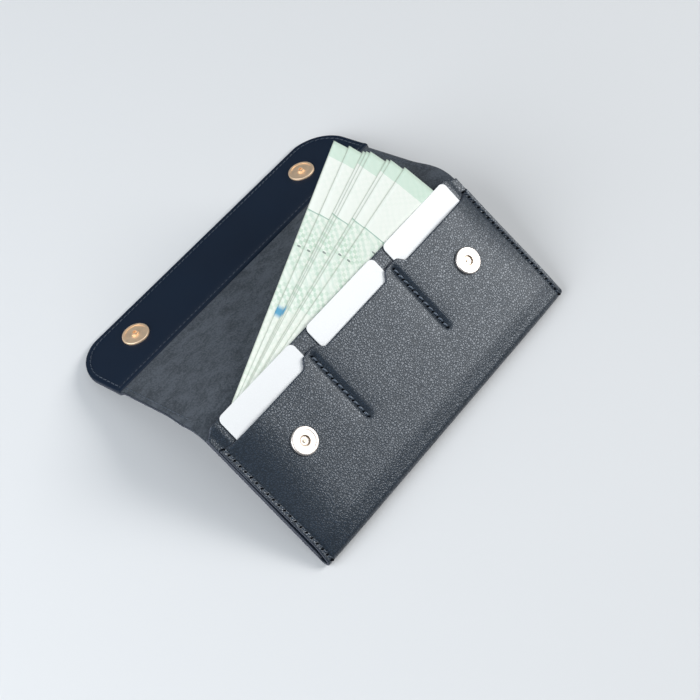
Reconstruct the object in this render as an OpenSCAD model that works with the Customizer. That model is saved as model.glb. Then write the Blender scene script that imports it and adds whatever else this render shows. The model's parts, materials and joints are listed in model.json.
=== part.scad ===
// Trifold long wallet: one leather sheet in three leaves, standing open like a low tent.
// The front leaf is a pouch with three card pockets, the middle leaf is its back, and the
// last leaf is a flap that folds over the pouch and closes with two snaps.
// Frame: +X along the wallet, +Y from the pouch's foot to the flap's tip, +Z up, floor at z = 0.

/* [Wallet] */

// Length of the wallet along its folds, mm
wallet_len = 201; // [150:1:230]
// Height of the pouch from its foot to the crease, mm
pouch_h = 89.5; // [75:0.1:110]
// Distance from the crease to the tip of the flap, mm
flap_reach = 94.5; // [70:0.5:130]
// Radius of the flap's two tip corners, mm
tip_r = 22; // [5:1:40]
// Lean of the pouch over the floor as it stands open, degrees
pouch_lean = 25.9; // [0:0.1:45]

/* [Leather] */

// Thickness of the outer leather, mm
leather_t = 1.4; // [0.8:0.1:2.5]
// Thickness of the suede lining, mm
lining_t = 0.5; // [0.3:0.1:1]
// Thickness of the divider between notes and cards, mm
divider_t = 1; // [0.6:0.1:2]
// Thickness of the smooth facing along the flap's tip, mm
facing_t = 0.9; // [0.5:0.1:2]
// Width of the facing, from its folded edge to the tip, mm
facing_w = 39.5; // [20:1:60]
// Outside radius of the pouch's bottom fold, mm
fold_r = 2.6; // [1.6:0.1:4]

/* [Pockets] */

// Height of the pocket mouth over the foot, mm
mouth_h = 74.8; // [50:0.1:90]
// Height of the divider over the foot, mm
divider_h = 88; // [60:0.5:100]
// Distance of each pocket seam from the middle, mm
seam_x = 33.2; // [25:0.1:45]
// Lower end of each pocket seam over the foot, mm
seam_from = 37.5; // [10:0.5:60]
// Upper end of each pocket seam over the foot, mm
seam_to = 73; // [40:0.1:90]
// Height of the tab over each pocket seam, mm
tab_h = 4.2; // [2:0.1:8]
// Width of the tab at its top, mm
tab_w = 6; // [3:0.1:12]
// Width of the side welts, mm
welt_w = 5; // [3:0.5:10]

/* [Snaps] */

// Distance of the snaps from the middle, mm
snap_x = 67.4; // [40:0.1:90]
// Height of the pouch's snaps over the foot, mm
snap_h = 51; // [20:0.1:70]
// Diameter of a snap's cap, mm
snap_d = 14.6; // [10:0.1:20]
// Height of the socket's cap over the leather, mm
socket_t = 1.6; // [1:0.1:3]
// Height of the stud's cap over the facing, mm
stud_t = 1.1; // [0.6:0.1:2]
// Diameter of the hole in the socket, mm
socket_bore_d = 5.4; // [4:0.1:8]
// Diameter of the stud's nose, mm
nose_d = 3.8; // [2:0.1:6]
// Distance of the studs from the flap's tip, mm
stud_inset = 18; // [8:0.1:30]

/* [Stitching] */

// Distance of the seams from the edge, mm
seam_inset = 3; // [1.5:0.1:6]
// Spacing of the stitches on the pouch, mm
stitch_pitch = 3.6; // [2:0.1:6]
// Spacing of the stitches on the flap, mm
flap_pitch = 3.4; // [2:0.1:6]
// Length of one stitch, mm
stitch_l = 2.8; // [1:0.1:4]
// Width of one stitch, mm
stitch_w = 0.8; // [0.3:0.1:1.5]
// Height of one stitch over the leather, mm
stitch_t = 0.35; // [0.2:0.05:0.8]

/* [Contents] */

// Width of a standard card as it stands in its pocket, mm
card_w = 54; // [50:0.1:60]
// Height of a standard card as it stands in its pocket, mm
card_h = 85.6; // [80:0.1:90]
// Thickness of a card, mm
card_t = 0.76; // [0.5:0.01:1]
// Corner radius of a card, mm
card_r = 3.2; // [1:0.1:5]
// Length of a banknote, mm
note_w = 150; // [120:1:170]
// Height of a banknote, mm
note_h = 66; // [60:1:80]
// Thickness of a banknote, mm
note_t = 0.22; // [0.1:0.01:0.3]
// Fan angle of each banknote, from the back one to the front one, degrees
note_turn = [21.5, 18.8, 16.3, 15.8, 15.2, 12.2, 11.6, 9]; // [0:0.1:25]
// Place of the fan's point along the wallet, from its middle, mm
fan_x = -96; // [-100:1:-60]
// Height of the fan's point over the foot, mm
fan_y = 62; // [40:1:80]

/* [Hidden] */

$fn = 48;
// Sides of the large rounds
fine = 96;
// Length by which a cut passes through what it cuts, mm
cut = 1;

// Air left beside a piece that moves, mm
air = 0.25;
note_air = 0.2;

// Middle of each card, from left to right
card_x = [-63, 1.5, 64];
// Foot of the cards, clear of the fold's inner corners
card_foot = leather_t + 1.4;

// Upper right corner of a note from the fan's point, before it is turned
note_reach = 173;
note_rise = 16.5;
note_stagger = 0.7;

// Levels of the pouch's layers, from the outer face of its back
lining_n = leather_t + lining_t;
note_n0 = lining_n + air;
note_pitch = note_t + note_air;
divider_n = note_n0 + len(note_turn) * note_pitch + air - note_air;
card_n = divider_n + divider_t + air;
front_n = card_n + card_t + air;
pouch_t = front_n + leather_t;

// The flap turns on an axis over its leather, so that stud meets socket when it is shut
facing_n = leather_t + facing_t;
stud_gap = 0.15;
shut_n = (pouch_t + socket_t + stud_gap + facing_n + stud_t) / 2;
stud_s = flap_reach - stud_inset;
fold_s = (stud_s - (pouch_h - snap_h)) / 2;
half_gap = 0.15;

// Standing pose: the fold's round and the flap's tip both touch the floor
foot_z = fold_r * (1 - sin(pouch_lean) - cos(pouch_lean));
crease_z = foot_z + pouch_h * sin(pouch_lean);
flap_lean = asin(crease_z / flap_reach);
bend = pouch_lean + flap_lean;
front_y = fold_r * (cos(pouch_lean) - sin(pouch_lean) - 1);
face_y = -pouch_t * sin(pouch_lean) + fold_r * (cos(pouch_lean) + sin(pouch_lean) - 1);
tip_y = pouch_h * cos(pouch_lean) + flap_reach * cos(flap_lean) + facing_n * sin(flap_lean);
foot_y = -(min(front_y, face_y) + tip_y) / 2;

// Snap hardware: post through the leather, plate behind it, rim of the cap, core of the hole
post_d = 2.8;
plate_d = 12;
plate_t = 0.5;
rim_w = 0.9;
rim_t = 0.3;
core_d = 1.6;
core_t = 0.5;
shoulder = 0.45;

floor_t = 0.35;
plate_air = 0.1;

// Lining and welts stand back from the leather's edge by this, and the facing by less
lining_inset = 0.8;
facing_inset = 0.3;

// Plain leather at the ends of a seam, and between the facing's edge and its seam
seam_end = 2.5;
course_inset = 1.4;

// Width of the ribs that draw the front in to the divider along a pocket seam
rib_w = 1.6;

half = wallet_len / 2;
facing_s = flap_reach - facing_w;

navy = [0.16, 0.18, 0.22];
smooth_navy = [0.06, 0.10, 0.16];
suede = [0.32, 0.34, 0.38];
thread = [0.08, 0.10, 0.14];
champagne = [0.86, 0.80, 0.70];
rose = [0.80, 0.56, 0.42];
steel = [0.62, 0.62, 0.60];
card_white = [0.96, 0.96, 0.96];
note_green = [0.78, 0.86, 0.78];

// Pouch frame: x along the wallet, y up the leaf from its foot, z out of its inner face.
module on_pouch() {
    translate([0, foot_y, foot_z])
        rotate([pouch_lean, 0, 0])
            children();
}

// Flap frame: y from the crease to the tip, z out of the inner face.
module on_flap() {
    on_pouch()
        translate([0, pouch_h, 0])
            rotate([-bend, 0, 0])
                children();
}

// A flat plate between two heights, as wide as the wallet less an inset.
module leaf(y0, y1, z0, z1, inset = 0) {
    translate([-half + inset, y0, z0])
        cube([wallet_len - 2 * inset, y1 - y0, z1 - z0]);
}

// Outline of a leaf whose far end has two round corners.
module tip_outline(y0, y1, inset = 0) {
    r = tip_r - inset;
    w = half - inset;
    difference() {
        translate([-w, y0]) square([2 * w, y1 - y0]);
        for (side = [-1, 1])
            difference() {
                translate([side * (w - r / 2 + cut / 2), y1 - r / 2 + cut / 2])
                    square([r + cut, r + cut], center = true);
                translate([side * (w - r), y1 - r]) circle(r = r, $fn = fine);
            }
    }
}

// A rounded rectangle, drawn from its lower edge.
module card_outline() {
    c = card_w / 2 - card_r;
    union() {
        translate([-c, 0]) square([2 * c, card_h]);
        translate([-card_w / 2, card_r]) square([card_w, card_h - 2 * card_r]);
        for (x = [-c, c])
            for (y = [card_r, card_h - card_r])
                translate([x, y]) circle(r = card_r);
    }
}

// Tab over a pocket seam, with a rounded top and a fillet on each side of its root.
module tab_outline() {
    r = tab_h / 2;
    w = tab_w / 2;
    difference() {
        translate([-w - r, 0]) square([2 * (w + r), r]);
        for (side = [-1, 1])
            translate([side * (w + r), r]) circle(r = r);
    }
    translate([-w + r, 0]) square([2 * (w - r), tab_h]);
    translate([-w, 0]) square([2 * w, tab_h - r]);
    for (side = [-1, 1])
        translate([side * (w - r), tab_h - r]) circle(r = r);
}

// One stitch lying along y on a surface at z = 0.
module stitch() {
    translate([-stitch_w / 2, -stitch_l / 2, 0])
        cube([stitch_w, stitch_l, stitch_t]);
}

// A straight row of stitches up the leaf.
module stitch_row(x, y0, y1, pitch) {
    n = floor((y1 - y0) / pitch);
    for (i = [0:n])
        translate([x, y0 + (y1 - y0) * i / n, 0]) stitch();
}

// A straight row of stitches along the wallet.
module stitch_course(y, w, pitch) {
    n = floor(2 * w / pitch);
    for (i = [0:n])
        translate([-w + 2 * w * i / n, y, 0]) rotate([0, 0, 90]) stitch();
}

module back_panel() {
    color(navy)
        on_pouch() leaf(fold_r, pouch_h - half_gap, 0, leather_t);
}

// The leather turns round the foot: a channel with two round outer corners.
module bottom_fold() {
    inner_r = fold_r - leather_t;
    color(navy)
        on_pouch()
            rotate([90, 0, 90])
                linear_extrude(wallet_len, center = true)
                    difference() {
                        union() {
                            for (n = [fold_r, pouch_t - fold_r])
                                translate([fold_r, n]) circle(r = fold_r);
                            translate([0, fold_r]) square([fold_r, pouch_t - 2 * fold_r]);
                        }
                        translate([fold_r, -cut]) square([fold_r + cut, pouch_t + 2 * cut]);
                        for (n = [fold_r, pouch_t - fold_r])
                            translate([fold_r, n]) circle(r = inner_r);
                        translate([leather_t, fold_r])
                            square([fold_r, pouch_t - 2 * fold_r]);
                    }
}

// Front of the pouch: its inner side is drawn in to the divider along every seam.
module front_pocket_panel() {
    drawn_n = divider_n + divider_t;
    color(navy)
        on_pouch()
            difference() {
                union() {
                    translate([0, 0, front_n])
                        linear_extrude(leather_t)
                            union() {
                                translate([-half, fold_r])
                                    square([wallet_len, mouth_h - fold_r]);
                                for (x = [-seam_x, seam_x])
                                    translate([x, mouth_h]) tab_outline();
                            }
                    for (side = [-1, 1]) {
                        translate([side * (half - welt_w / 2), (fold_r + mouth_h) / 2,
                                   (drawn_n + front_n) / 2])
                            cube([welt_w, mouth_h - fold_r, front_n - drawn_n], center = true);
                        translate([side * seam_x - rib_w / 2, seam_from, drawn_n])
                            cube([rib_w, mouth_h + tab_h - cut - seam_from, front_n - drawn_n]);
                    }
                }
                for (x = [-snap_x, snap_x])
                    translate([x, snap_h, 0]) {
                        cylinder(d = post_d, h = pouch_t + cut);
                        translate([0, 0, front_n - cut])
                            cylinder(d = plate_d, h = plate_t + cut);
                    }
            }
}

module divider_panel() {
    color(navy)
        on_pouch() leaf(fold_r, divider_h, divider_n, divider_n + divider_t);
}

module pouch_lining() {
    color(suede)
        on_pouch() leaf(fold_r, pouch_h - half_gap, leather_t, lining_n, lining_inset);
}

// Welt between the back and the divider, which closes the note compartment at one side.
module side_welt(side) {
    color(navy)
        on_pouch()
            translate([side * (half - lining_inset - welt_w / 2), (fold_r + divider_h) / 2,
                       (lining_n + divider_n) / 2])
                cube([welt_w, divider_h - fold_r, divider_n - lining_n], center = true);
}

module left_side_welt() {
    side_welt(-1);
}

module right_side_welt() {
    side_welt(1);
}

module side_stitches(side) {
    color(thread)
        on_pouch()
            translate([0, 0, pouch_t])
                stitch_row(side * (half - seam_inset), fold_r + seam_end, mouth_h - seam_end, stitch_pitch);
}

module left_side_stitches() {
    side_stitches(-1);
}

module right_side_stitches() {
    side_stitches(1);
}

module pocket_stitches(side) {
    color(thread)
        on_pouch()
            translate([0, 0, pouch_t])
                stitch_row(side * seam_x, seam_from, seam_to, stitch_pitch);
}

module left_pocket_stitches() {
    pocket_stitches(-1);
}

module right_pocket_stitches() {
    pocket_stitches(1);
}

// Socket cap: a disc with a rounded edge, a raised rim and a hole with a small core in it.
module snap_socket(side) {
    bore_t = socket_t - floor_t;
    color(champagne)
        on_pouch()
            translate([side * snap_x, snap_h, pouch_t]) {
                difference() {
                    rotate_extrude($fn = fine)
                        cap_profile(socket_t);
                    translate([0, 0, floor_t])
                        cylinder(d = socket_bore_d, h = bore_t + cut);
                }
                cylinder(d = core_d, h = floor_t + core_t);
                translate([0, 0, -(pouch_t - front_n - plate_t)])
                    cylinder(d = post_d, h = pouch_t - front_n - plate_t + floor_t);
            }
}

// Half section of a cap: flat foot, rounded shoulder and a rim that stands over the face.
module cap_profile(t) {
    r = t * shoulder;
    union() {
        square([snap_d / 2 - r, t - rim_t]);
        square([snap_d / 2, t - r]);
        translate([snap_d / 2 - r, t - r]) intersection() {
            circle(r = r);
            square([r, r]);
        }
        translate([snap_d / 2 - r - rim_w, 0]) square([rim_w, t]);
    }
}

module left_snap_socket() {
    snap_socket(-1);
}

module right_snap_socket() {
    snap_socket(1);
}

module socket_plate(side) {
    color(steel)
        on_pouch()
            translate([side * snap_x, snap_h, front_n])
                cylinder(d = plate_d - plate_air, h = plate_t);
}

module left_socket_plate() {
    socket_plate(-1);
}

module right_socket_plate() {
    socket_plate(1);
}

module crest_panel() {
    color(navy)
        on_flap() leaf(half_gap, fold_s - half_gap, 0, leather_t);
}

module crest_lining() {
    color(suede)
        on_flap() leaf(half_gap, fold_s - half_gap, leather_t, lining_n, lining_inset);
}

module flap_panel() {
    color(navy)
        on_flap()
            difference() {
                linear_extrude(leather_t)
                    tip_outline(fold_s + half_gap, flap_reach);
                for (x = [-snap_x, snap_x])
                    translate([x, stud_s, leather_t - plate_t])
                        cylinder(d = plate_d, h = plate_t + cut);
            }
}

module flap_lining() {
    color(suede)
        on_flap() leaf(fold_s + half_gap, facing_s, leather_t, lining_n, lining_inset);
}

module flap_facing() {
    color(smooth_navy)
        on_flap()
            difference() {
                translate([0, 0, leather_t])
                    linear_extrude(facing_t)
                        tip_outline(facing_s, flap_reach - facing_inset, facing_inset);
                for (x = [-snap_x, snap_x])
                    translate([x, stud_s, 0])
                        cylinder(d = post_d, h = facing_n + cut);
            }
}

// Seam round the flap: up both sides, round the corners and along the tip.
module flap_edge_stitches() {
    w = half - seam_inset;
    r = tip_r - seam_inset;
    y_arc = flap_reach - tip_r;
    y_tip = flap_reach - seam_inset;
    n_arc = floor(r * PI / 2 / flap_pitch);
    color(thread)
        on_flap() {
            for (side = [-1, 1]) {
                translate([0, 0, lining_n])
                    stitch_row(side * w, fold_s + seam_end, facing_s - seam_end, flap_pitch);
                translate([0, 0, facing_n]) {
                    stitch_row(side * w, facing_s + seam_end, y_arc, flap_pitch);
                    for (i = [1:n_arc])
                        translate([side * (w - r), y_arc, 0])
                            rotate([0, 0, -side * 90 * (1 - i / (n_arc + 1))])
                                translate([0, r, 0])
                                    rotate([0, 0, 90]) stitch();
                }
            }
            translate([0, 0, facing_n]) stitch_course(y_tip, w - r, flap_pitch);
        }
}

// Seam along the facing's folded edge.
module facing_stitches() {
    color(thread)
        on_flap()
            translate([0, 0, facing_n])
                stitch_course(facing_s + course_inset, half - seam_inset - seam_end, flap_pitch);
}

// Stud cap: a thin disc with a raised rim and a hollow nose that enters the socket.
module snap_stud(side) {
    nose_t = 0.9;
    hollow_d = core_d + 0.8;
    color(rose)
        on_flap()
            translate([side * snap_x, stud_s, facing_n]) {
                rotate_extrude($fn = fine)
                    cap_profile(stud_t);
                difference() {
                    cylinder(d = nose_d, h = stud_t + nose_t);
                    translate([0, 0, stud_t - rim_t])
                        cylinder(d = hollow_d, h = nose_t + cut);
                }
                translate([0, 0, -facing_t])
                    cylinder(d = post_d, h = facing_t + floor_t);
            }
}

module left_snap_stud() {
    snap_stud(-1);
}

module right_snap_stud() {
    snap_stud(1);
}

module stud_plate(side) {
    color(steel)
        on_flap()
            translate([side * snap_x, stud_s, leather_t - plate_t])
                cylinder(d = plate_d - plate_air, h = plate_t);
}

module left_stud_plate() {
    stud_plate(-1);
}

module right_stud_plate() {
    stud_plate(1);
}

module card(i) {
    color(card_white)
        on_pouch()
            translate([card_x[i], card_foot, card_n])
                linear_extrude(card_t)
                    card_outline();
}

module left_card() {
    card(0);
}

module middle_card() {
    card(1);
}

module right_card() {
    card(2);
}

// A note, turned about the fan's point by its place in the fan.
module banknote(i) {
    color(note_green)
        on_pouch()
            translate([fan_x, fan_y, note_n0 + i * note_pitch])
                rotate([0, 0, note_turn[i]])
                    translate([note_reach + i * note_stagger - note_w, note_rise - note_h, 0])
                        cube([note_w, note_h, note_t]);
}

module banknote_1() {
    banknote(0);
}

module banknote_2() {
    banknote(1);
}

module banknote_3() {
    banknote(2);
}

module banknote_4() {
    banknote(3);
}

module banknote_5() {
    banknote(4);
}

module banknote_6() {
    banknote(5);
}

module banknote_7() {
    banknote(6);
}

module banknote_8() {
    banknote(7);
}

back_panel();
bottom_fold();
front_pocket_panel();
divider_panel();
pouch_lining();
left_side_welt();
right_side_welt();
left_side_stitches();
right_side_stitches();
left_pocket_stitches();
right_pocket_stitches();
left_snap_socket();
right_snap_socket();
left_socket_plate();
right_socket_plate();
crest_panel();
crest_lining();
flap_panel();
flap_lining();
flap_facing();
flap_edge_stitches();
facing_stitches();
left_snap_stud();
right_snap_stud();
left_stud_plate();
right_stud_plate();
left_card();
middle_card();
right_card();
banknote_1();
banknote_2();
banknote_3();
banknote_4();
banknote_5();
banknote_6();
banknote_7();
banknote_8();
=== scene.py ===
"""Trifold long wallet: leather pouch, crest and flap, with snaps, cards and banknotes."""

import json
import math
from functools import partial
from types import SimpleNamespace

import bpy
import numpy as np
from bpy.props import FloatProperty, FloatVectorProperty, PointerProperty
from mathutils import Matrix, Vector


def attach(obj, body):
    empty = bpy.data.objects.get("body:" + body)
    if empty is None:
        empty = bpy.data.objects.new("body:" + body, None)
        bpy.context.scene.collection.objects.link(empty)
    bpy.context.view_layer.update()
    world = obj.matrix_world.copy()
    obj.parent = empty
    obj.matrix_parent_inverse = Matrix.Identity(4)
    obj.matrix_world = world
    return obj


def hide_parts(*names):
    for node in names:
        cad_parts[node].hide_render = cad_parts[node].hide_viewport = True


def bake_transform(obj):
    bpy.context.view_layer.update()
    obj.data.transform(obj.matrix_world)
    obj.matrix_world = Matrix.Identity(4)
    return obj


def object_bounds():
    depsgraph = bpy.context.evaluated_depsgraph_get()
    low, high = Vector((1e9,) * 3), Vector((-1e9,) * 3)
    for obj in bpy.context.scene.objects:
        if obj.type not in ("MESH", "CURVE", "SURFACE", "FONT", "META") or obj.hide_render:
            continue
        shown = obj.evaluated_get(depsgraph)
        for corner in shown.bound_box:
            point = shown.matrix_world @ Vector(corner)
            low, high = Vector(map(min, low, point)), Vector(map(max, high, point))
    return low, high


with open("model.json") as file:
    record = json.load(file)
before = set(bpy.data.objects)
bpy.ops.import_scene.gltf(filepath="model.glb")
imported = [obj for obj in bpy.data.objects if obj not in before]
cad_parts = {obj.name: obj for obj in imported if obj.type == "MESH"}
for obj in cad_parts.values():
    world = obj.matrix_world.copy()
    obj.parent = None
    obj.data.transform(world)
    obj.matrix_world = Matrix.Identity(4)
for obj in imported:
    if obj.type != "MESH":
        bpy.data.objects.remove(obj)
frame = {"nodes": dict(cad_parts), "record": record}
CAD_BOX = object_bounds()

bl_info = {
    "name": "Trifold Long Wallet",
    "version": (1, 0, 0),
    "blender": (4, 5, 0),
    "location": "View3D > Sidebar > Wallet",
    "description": "Builds a long trifold wallet around its rigid frame",
    "category": "Object",
}

MM = 0.001

# ---------------------------------------------------------------- the frame's own directions

JOINTS = {j["name"]: j for j in frame["record"]["behaviour"]["joints"]}
UP = np.array(JOINTS["left_card_slide"]["axis"], float)
OUT = np.array(JOINTS["banknote_1_fan"]["axis"], float)
ALONG = np.array([1.0, 0.0, 0.0])
BEND = math.radians(JOINTS["back_crease"]["range_deg"][1])
CREASE = np.array(JOINTS["back_crease"]["pos_m"], float)
FOLD = np.array(JOINTS["flap_fold"]["pos_m"], float)
FLAP_UP = UP * math.cos(BEND) - OUT * math.sin(BEND)
FLAP_OUT = UP * math.sin(BEND) + OUT * math.cos(BEND)


def span(node, origin, axis):
    """Lowest and highest place of a CAD node along an axis, in mm from origin."""
    mesh = frame["nodes"][node].data
    co = np.empty(len(mesh.vertices) * 3)
    mesh.vertices.foreach_get("co", co)
    along = (co.reshape(-1, 3) - origin) @ axis / MM
    return float(along.min()), float(along.max())


# The foot of the pouch is where its bottom fold reaches lowest along the leaf.
FOOT = CREASE + UP * span("bottom_fold", CREASE, UP)[0] * MM
HALF = span("bottom_fold", FOOT, ALONG)[1]
POUCH_H = float((CREASE - FOOT) @ UP / MM)
POUCH_T = span("bottom_fold", FOOT, OUT)[1]
TAB_TOP = span("front_pocket_panel", FOOT, UP)[1]
LEATHER_T = span("back_panel", FOOT, OUT)[1]
LINING_N = span("pouch_lining", FOOT, OUT)[1]
DIVIDER_N, DIVIDER_TOP_N = span("divider_panel", FOOT, OUT)
DIVIDER_H = span("divider_panel", FOOT, UP)[1]
SEAM_X = span("right_pocket_stitches", FOOT, ALONG)[1] - 0.4
SEAM_LOW, SEAM_HIGH = span("right_pocket_stitches", FOOT, UP)
FLAP_TIP = span("flap_panel", CREASE, FLAP_UP)[1]
FACING_S = span("flap_facing", CREASE, FLAP_UP)[0]
FACING_N = span("flap_facing", CREASE, FLAP_OUT)[1]
FOLD_S = float((FOLD - CREASE) @ FLAP_UP / MM)
FAN = np.stack([ALONG, UP]) @ (np.array(JOINTS["banknote_1_fan"]["pos_m"]) - FOOT) / MM
# The back leaf's sheets meet here, in mm up the flap, between the two folds.
SPLIT_S = FOLD_S / 2


# ---------------------------------------------------------------- settings


def linear(hex_value):
    """Linear colour of an sRGB hex value."""
    parts = [int(hex_value[i : i + 2], 16) / 255 for i in (1, 3, 5)]
    return (*[c / 12.92 if c <= 0.04045 else ((c + 0.055) / 1.055) ** 2.4 for c in parts], 1.0)


def colour(hex_value, name, text):
    """A colour, given as its sRGB hex value."""
    return FloatVectorProperty(
        name=name, description=text, default=linear(hex_value), size=4, min=0.0, max=1.0, subtype="COLOR"
    )


def size(millimetres, name, text, low=0.0):
    """A length, given in mm and kept in metres, which is how Blender shows its unit."""
    return FloatProperty(
        name=name, description=text, default=millimetres * MM, min=low * MM, precision=4, subtype="DISTANCE"
    )


class WalletSizes(bpy.types.PropertyGroup):
    """Sizes of the wallet's soft shape."""

    seam_t: size(4.6, "Seam thickness", "Thickness of the pouch where its sides are sewn", 3.0)
    pinch_w: size(26.0, "Pinch width", "Width over which the pouch fills out from its side seams", 5.0)
    crease_r: size(16.0, "Crease radius", "Radius of the leather over the crease", 2.0)
    tip_r: size(22.0, "Tip radius", "Radius of the flap's tip corners", 5.0)
    tab_h: size(4.2, "Tab height", "Height of the tabs over the pocket mouth", 1.0)
    tab_w: size(8.5, "Tab width", "Width of the tab over a pocket seam at its top", 2.0)
    tab_flare: size(5.0, "Tab flare", "Width of the curve on each side of a tab", 1.0)
    dimple: size(1.6, "Seam dimple", "Depth to which a pocket seam draws the leather in")
    foot_open: size(2.2, "Foot opening", "Extra thickness of the side seams at the foot")
    card_tilt: size(2.2, "Card tilt", "Drop of an outer card's outer edge below its inner one")
    front_inset: size(0.6, "Front inset", "Distance by which the front's sides stand back from the back's")
    seam_inset: size(2.7, "Seam inset", "Distance of the side seams from the edge", 1.0)
    pitch: size(3.6, "Stitch pitch", "Spacing of the pouch's stitches", 1.0)
    flap_pitch: size(3.0, "Flap stitch pitch", "Spacing of the flap's stitches", 1.0)
    thread_d: size(0.85, "Thread", "Diameter of the sewing thread", 0.2)
    note_slip: size(3.3, "Note slip", "Distance by which the notes stand out of the fan")
    note_rise: size(1.3, "Note rise", "Distance by which the notes stand up in the fan")
    waist: size(1.2, "Waist", "Amount by which the flap narrows below its facing")


class WalletColours(bpy.types.PropertyGroup):
    """Colours of the wallet's finishes."""

    leather: colour("#182432", "Leather", "Tops of the pebbled leather's grain")
    # Colour of the creases, darker than the pebbles' tops: painted shade.
    crease_shade: colour("#0D151F", "Leather crease shade", "Creases between the pebbles")
    smooth: colour("#091A2C", "Facing", "Smooth facing leather")
    suede: colour("#4C5157", "Suede", "Suede lining, brushed up")
    suede_dark: colour("#31363B", "Suede marks", "Suede lining, brushed down")
    edge: colour("#4C4F59", "Cut edge", "Raw cut edges of the leather")
    thread: colour("#33404E", "Side thread", "Waxed thread of the side seams")
    # The same thread as the side seams, painted lighter: painted sheen where the pocket seams catch the light.
    thread_painted_sheen: colour("#5C6875", "Pocket thread", "Waxed thread of the pocket seams")
    thread_pale: colour("#2C3A4A", "Flap thread", "Thread round the flap")
    socket: colour("#D9D0C8", "Sockets", "Pale gold plate")
    # Painted shade, darkening the corner of a socket's bore.
    bore: colour("#B9AC9A", "Socket bore shade", "Dull plate in the corner of a socket's bore")
    core: colour("#F4EEDF", "Socket cores", "Plate on a socket's core")
    stud: colour("#FFE2C0", "Studs", "Rose gold plate")
    card: colour("#EFEEEB", "Cards", "Blank card plastic")
    paper: colour("#E9EEE0", "Paper", "Banknote paper")
    ink: colour("#C8DAC4", "Ink", "Banknote print")
    floor: colour("#DCDBD9", "Floor", "Plain pale floor")


# ---------------------------------------------------------------- helpers


def sizes():
    """The wallet's sizes, in mm."""
    group = bpy.context.scene.wallet_sizes
    return SimpleNamespace(**{key: round(getattr(group, key) / MM, 4) for key in WalletSizes.__annotations__})


def shades():
    """The wallet's colours, as linear RGBA."""
    group = bpy.context.scene.wallet_colours
    return SimpleNamespace(**{key: tuple(getattr(group, key)) for key in WalletColours.__annotations__})


def ease(t):
    """Smooth step from 0 to 1, level at both ends."""
    t = np.clip(t, 0.0, 1.0)
    return t * t * (3 - 2 * t)


def on_pouch(x, y, n):
    """Places in the pouch's own mm, as an array of points in metres."""
    x, y, n = np.broadcast_arrays(x, y, n)
    return FOOT + (x[..., None] * ALONG + y[..., None] * UP + n[..., None] * OUT) * MM


def on_flap(x, s, n):
    """Places on the flap: s in mm up it from the crease, n out of it."""
    x, s, n = np.broadcast_arrays(x, s, n)
    return CREASE + (x[..., None] * ALONG + s[..., None] * FLAP_UP + n[..., None] * FLAP_OUT) * MM


def on_back(x, s, n):
    """Places on the back leaf, rounded over the crease: s in mm from the crease, n out of it."""
    radius = sizes().crease_r
    tangent = radius * math.tan(BEND / 2)
    x, s, n = np.broadcast_arrays(x, s, n)
    arc = radius * BEND
    s_arc = np.clip((s + tangent) / (2 * tangent), 0, 1) * arc
    angle = s_arc / radius
    centre = CREASE - UP * tangent * MM - OUT * radius * MM
    turn = UP * np.sin(angle)[..., None] + OUT * np.cos(angle)[..., None]
    arc_p = centre + turn * ((radius + n) * MM)[..., None]
    low = CREASE + (s[..., None] * UP + n[..., None] * OUT) * MM
    high = CREASE + (s[..., None] * FLAP_UP + n[..., None] * FLAP_OUT) * MM
    points = np.where((s <= -tangent)[..., None], low, np.where((s >= tangent)[..., None], high, arc_p))
    return points + (x[..., None] * ALONG) * MM


def new_object(name, mesh):
    """An object in the scene, at the origin, for a mesh."""
    thing = bpy.data.objects.new(name, mesh)
    bpy.context.collection.objects.link(thing)
    return thing


def grid_normals(p):
    """Unit normals of a grid of points, whose rows and columns run right-handed."""
    du = np.gradient(p, axis=1)
    dv = np.gradient(p, axis=0)
    n = np.cross(du, dv)
    return n / np.maximum(np.linalg.norm(n, axis=-1, keepdims=True), 1e-12)


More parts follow.
